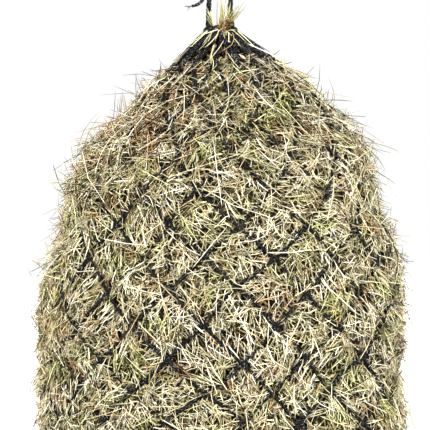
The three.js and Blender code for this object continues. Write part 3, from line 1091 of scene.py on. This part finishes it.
def loose_straws(rng, starts, middles, ends, half_width, tone, brown, green):
    """Strands along smooth curves through three points each, given from the middle of the neck."""
    neck = np.array([0, 0, NECK_Z])
    starts, middles, ends = (np.asarray(points, float) * MM + neck for points in (starts, middles, ends))
    s = (BLADES + 1) / 2
    s = s[None, :, None]
    paths = starts[:, None] * (1 - s) ** 2 + middles[:, None] * 2 * s * (1 - s) + ends[:, None] * s ** 2
    count = len(starts)
    half = rng.uniform(*half_width, count)[:, None] * np.linspace(1.0, 0.55, BLADES.size)[None]
    hints = np.broadcast_to(rng.normal(0, 1, (count, 1, 3)), paths.shape)
    values = {
        "tone": np.clip(rng.normal(tone, 0.2, count), 0, 1), "green": rng.uniform(*green, count),
        "brown": np.clip(rng.normal(brown, 0.3, count), 0, 1), "painted_shade": np.zeros(count),
    }
    return strand_arrays(paths, hints, half * MM, half * 0.6 * MM, values, BLADES)


# Single straws that lie over the neck: start, middle and end, in mm from the middle of the neck.
NECK_STRAWS = [
    ((2, -22, 5), (-10, -28, 2), (-28, -31, -5)),
    ((8, -25, 2), (16, -27, 2), (25, -24, 3)),
    ((8, -26, 2), (18, -36, -6), (33, -54, -27)),
    ((1, -27, 2), (0, -35, -16), (20, -48, -18)),
    ((-4, -29, -1), (-7, -42, -12), (-26, -56, -28)),
    ((-10, -27, 0), (-16, -40, -14), (-38, -58, -34)),
    ((22, -25, 0), (30, -30, -6), (45, -38, -22)),
    ((26, -18, 2), (38, -22, -8), (58, -32, -29)),
    ((-20, -20, 2), (-30, -26, -8), (-48, -36, -25)),
    ((12, -27, 0), (14, -38, -8), (12, -60, -28)),
]


def make_tuft():
    """The straw in the neck, between and under the draw cord's strands, in mm from the neck's middle."""
    rng = np.random.default_rng(51)
    parts = []

    def about(count, centre, spread):
        return np.array(centre) + rng.normal(0, 1, (count, 3)) * spread

    def ranges(count, *limits):
        return np.stack([rng.uniform(low, high, count) for low, high in limits], 1)

    def add(starts, ends, waver, half_width, tone, brown, green=(0, 1), raised=0):
        """Straws from starts to ends that stray from straight by waver, and rise by raised, in between."""
        middles = (starts + ends) / 2 + rng.normal(0, waver, starts.shape) + (0, 0, raised)
        parts.append(loose_straws(rng, starts, middles, ends, half_width, tone, brown, green))

    upright = ranges(44, (-7, 10), (-24, 2), (-2, 3)), ranges(44, (-5, 18), (-16, 8), (18, 64))
    add(*upright, 3, (0.6, 1.2), 0.4, -0.05, (0.2, 0.9))

    leaning = 34
    starts = about(leaning, (2, -13, 2), (3, 3, 3))
    lean = rng.uniform(8, 42, leaning)
    ends = [lean, rng.uniform(-24, -12, leaning), lean * 0.9 + rng.uniform(4, 20, leaning)]
    add(starts, np.stack(ends, 1), 3, (0.35, 0.9), 0.4, -0.05, (0.3, 1))

    by_left_strand = about(7, (-7, -15, 4), (2, 2, 2)), ranges(7, (-26, -14), (-20, -14), (24, 42))
    add(*by_left_strand, 2, (0.6, 1.2), 0.75, -0.3, (0.4, 1))

    for root, tips, count in (((3, -26, 1), (5, 2, 7), 120), ((13, -20, 16), (5, 3, 7), 50)):
        withered = about(count, root, (3, 1.5, 4)), about(count, root, tips)
        add(*withered, 2, (0.4, 1.3), 0.25, 0.75)

    spilling = 26
    turn = rng.normal(-math.pi / 2, 0.9, spilling)
    out = np.stack([np.cos(turn), np.sin(turn), 0 * turn], 1)
    up = np.array([[0, 0, 1]])
    reach = rng.uniform(32, 62, (spilling, 1))
    starts = out * rng.uniform(14, 24, (spilling, 1)) + up * rng.uniform(4, 8, (spilling, 1))
    ends = out * reach + up * ((25 - reach) * 0.88 + rng.uniform(5, 9, (spilling, 1)))
    ends[:, 0] += rng.normal(0, 5, spilling)
    add(starts, ends, 1.5, (0.35, 0.8), 0.72, -0.1, raised=2)

    starts, middles, ends = (np.array(points) for points in zip(*NECK_STRAWS))
    parts.append(loose_straws(rng, starts, middles, ends, (0.75, 1.15), 0.85, -0.5, (0, 0.8)))
    finish_piece(strand_object("hay_tuft_straws", parts), hay_look, "net", "hay", "hay_tuft")


make_hay_bed()
make_hay()
make_tuft()

# ---- The steel ----

WIRE_SIDES = 20
BOW_STATIONS = 48
CORNER_STATIONS = 8
BAR_STATIONS = 24
WELD = 1.6 * MM  # half the width of the bead where a wire's ends are joined
BASE_RING_WELD = 1.2  # radians round from +X


def welded(wire, distance, on_wire=1):
    """The wire's radius at each distance from its weld, where it is a little thicker."""
    return wire * (1 + 0.1 * (np.exp(-((distance / WELD) ** 2)) * on_wire))


def arc(centre_x, centre_z, radius_x, radius_z, first, last, count):
    turn = np.radians(np.linspace(first, last, count, endpoint=False))
    return np.stack([centre_x + radius_x * np.cos(turn), 0 * turn, centre_z + radius_z * np.sin(turn)], 1)


def make_dee():
    half_width = dee_high.x - DEE_WIRE
    corner = 6 * MM
    bow_z = BAR_Z + corner
    bar_end = half_width - corner
    bar_x = np.linspace(-bar_end, bar_end, BAR_STATIONS, endpoint=False)
    bar = np.stack([bar_x, 0 * bar_x, 0 * bar_x + BAR_Z], 1)
    right_corner = arc(bar_end, bow_z, corner, corner, -90, 0, CORNER_STATIONS)
    bow = arc(0, bow_z, half_width, dee_high.z - DEE_WIRE - bow_z, 0, 180, BOW_STATIONS)
    left_corner = arc(-bar_end, bow_z, corner, corner, 180, 270, CORNER_STATIONS)
    path = np.vstack([bar, right_corner, bow, left_corner])
    radius = welded(DEE_WIRE, path[:, 0], path[:, 2] < BAR_Z + MM)
    dee = joined("steel_dee", [tube(path, radius, FRONT, WIRE_SIDES, closed=True)])
    finish_piece(dee, steel_look, "hanger", "steel", "hanging_dee")


def make_base_ring():
    turn, path = level_circle(RING_RADIUS, RING_Z, 2 * BOW_STATIONS)
    radius = welded(RING_WIRE, (turn - BASE_RING_WELD) * RING_RADIUS)
    ring = joined("steel_base_ring", [tube(path, radius, (0, 0, 1), WIRE_SIDES, closed=True)])
    finish_piece(ring, steel_look, "closing_ring", "steel", "base_ring")


make_dee()
make_base_ring()
